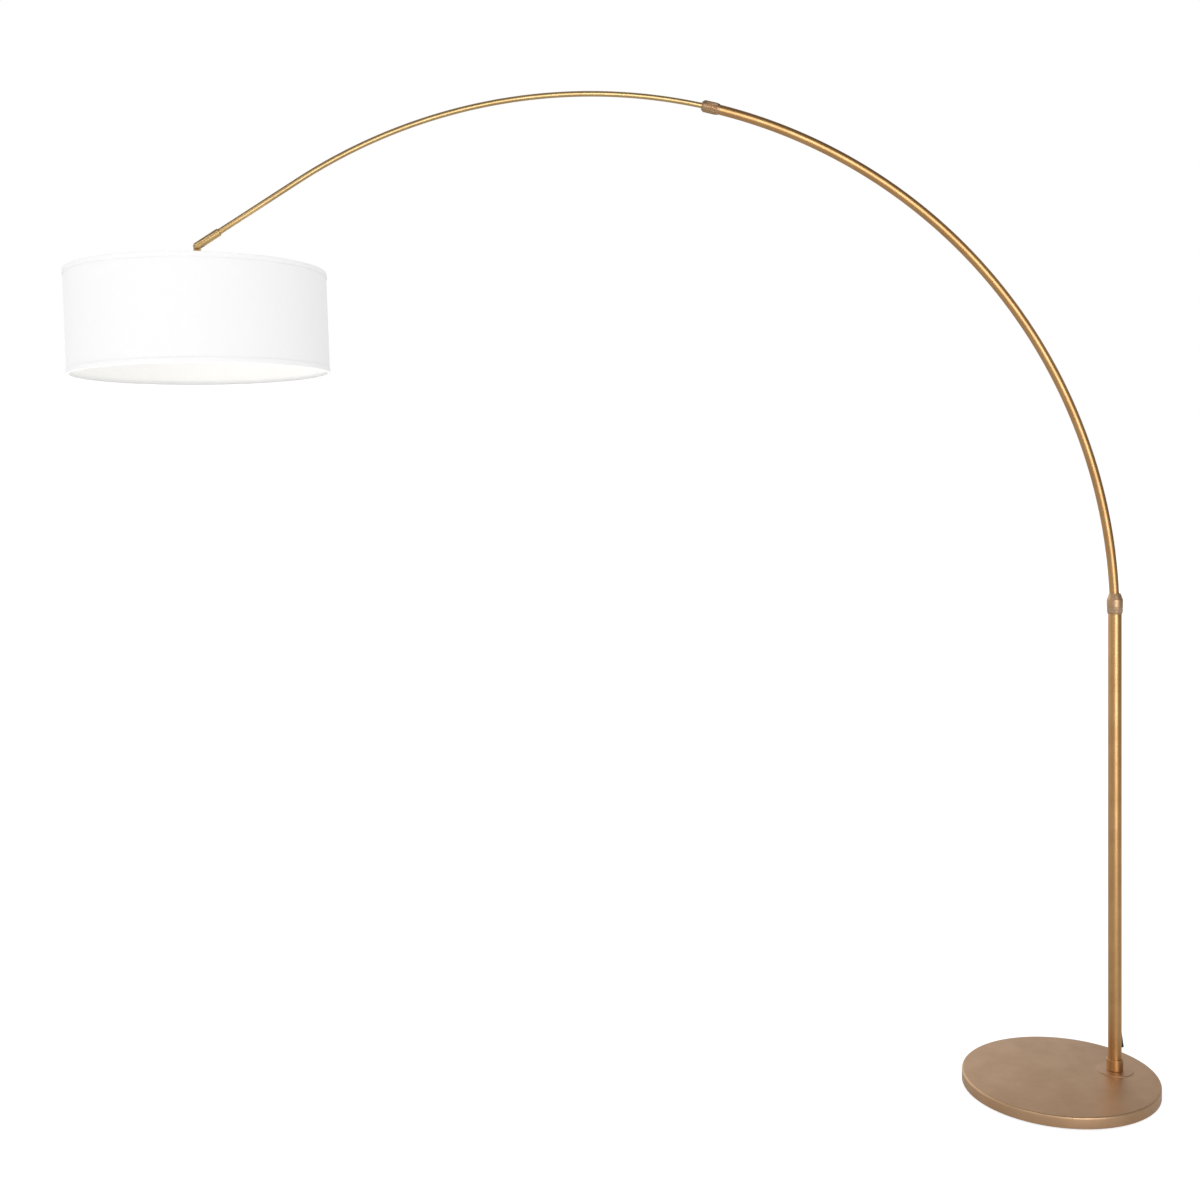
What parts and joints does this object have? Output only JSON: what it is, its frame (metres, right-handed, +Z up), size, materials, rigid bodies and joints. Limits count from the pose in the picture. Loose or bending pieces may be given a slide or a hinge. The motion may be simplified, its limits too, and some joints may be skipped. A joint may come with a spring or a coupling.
{
  "type": "arc floor lamp",
  "caption": "Arc floor lamp: round weighted base, pole, swivelling arc tube with a telescopic rod, and a wide fabric drum shade that tilts over a screw lampholder.",
  "frame": {"origin": "middle of the base's underside, on the floor", "axes": "+Z up; +X from the middle of the base to the pole, so the arm reaches out towards -X; +Y across"},
  "size_m": [2.1866, 0.4708, 2.0634],
  "materials": {
    "bronze_lacquer": "satin",
    "bronze_nut": "satin, knurled",
    "brushed_brass": "brushed satin",
    "turned_brass": "turned",
    "cast_iron": "rough",
    "felt": "felt",
    "zinc_steel": "zinc plated",
    "black_plastic": "moulded",
    "nylon": "moulded",
    "holder_plastic": "moulded",
    "steatite": "matte",
    "white_wire": "painted",
    "shade_liner": "matte",
    "shade_cloth": "plain weave",
    "hem_tape": "plain weave"
  },
  "bodies": {
    "base": {"base_cover": "bronze_lacquer", "base_weight": "cast_iron", "base_pad": "felt", "foot_plate": "bronze_lacquer", "foot_collar": "bronze_lacquer", "foot_bolt": "zinc_steel", "foot_washer": "zinc_steel", "foot_plug": "zinc_steel", "pole_tube": "bronze_lacquer", "cord_outlet": "black_plastic", "pole_insert": "turned_brass", "pole_collet": "nylon", "gland_ring": "turned_brass"},
    "pole_nut": {"pole_lock_nut": "bronze_nut"},
    "carriage": {"tail_bush": "nylon"},
    "arm": {"arc_tube": "bronze_lacquer", "tail_cap": "nylon", "tail_clip": "zinc_steel", "mouth_insert": "turned_brass", "rod_collet": "nylon"},
    "arm_nut": {"arm_lock_nut": "bronze_nut"},
    "rod": {"rod": "brushed_brass", "rod_glide": "nylon", "end_sleeve": "brushed_brass", "set_screw": "zinc_steel", "tilt_pin": "zinc_steel"},
    "shade": {"tilt_tongue": "brushed_brass", "stem": "zinc_steel", "stem_nut": "zinc_steel", "holder_cap": "holder_plastic", "holder_body": "holder_plastic", "holder_insert": "steatite", "thread_shell": "turned_brass", "centre_contact": "turned_brass", "shade_ring_upper": "holder_plastic", "shade_ring_lower": "holder_plastic", "shade_spider": "white_wire", "wire_ring_bottom": "white_wire", "wire_ring_top": "white_wire", "shade_lining": "shade_liner", "shade_fabric": "shade_cloth", "hem_tape_bottom": "hem_tape", "hem_tape_top": "hem_tape"}
  },
  "joints": [
    {"name": "pole_nut_turn", "type": "hinge", "parent": "base", "child": "pole_nut", "pos_m": [0.125, 0, 1.02], "axis": [0, 0, 1], "range_deg": [0, 180]},
    {"name": "height_slide", "type": "slide", "parent": "base", "child": "carriage", "axis": [0, 0, 1], "range_m": [0, 0.2]},
    {"name": "arm_swivel", "type": "hinge", "parent": "carriage", "child": "arm", "pos_m": [0.125, 0, 0.7], "axis": [0, 0, 1], "range_deg": [-170, 170]},
    {"name": "arm_nut_turn", "type": "hinge", "parent": "arm", "child": "arm_nut", "pos_m": [-0.75663, 0, 2.04161], "axis": [-0.9847, 0, 0.1745], "range_deg": [0, 180]},
    {"name": "rod_reach", "type": "hinge", "parent": "arm", "child": "rod", "pos_m": [-0.943, 0, 0.99], "axis": [0, -1, 0], "range_deg": [-30, 8]},
    {"name": "shade_tilt", "type": "hinge", "parent": "rod", "child": "shade", "pos_m": [-1.7484, 0, 1.72737], "axis": [0, 1, 0], "range_deg": [-30, 30]}
  ]
}
